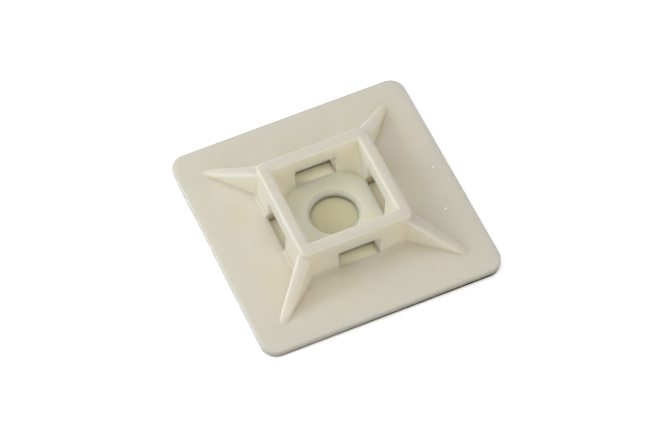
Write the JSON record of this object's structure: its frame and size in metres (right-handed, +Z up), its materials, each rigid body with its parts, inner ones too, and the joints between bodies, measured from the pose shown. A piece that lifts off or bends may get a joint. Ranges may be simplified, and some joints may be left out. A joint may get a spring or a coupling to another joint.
{
  "type": "cable tie mount",
  "caption": "Square cable tie mount with a raised four-way crown, tie slots under its bars, corner webs and a central screw hole.",
  "frame": {"origin": "centre of the plate's underside, on the screw hole's axis", "axes": "+Z up along the screw hole's axis, out of the mounting surface; +X and +Y along the plate's sides, which are alike"},
  "size_m": [0.028, 0.028, 0.0052],
  "materials": {
    "nylon": "natural moulded nylon, translucent off-white with a soft sheen"
  },
  "bodies": {
    "root": {"mount": "nylon"}
  },
  "joints": []
}
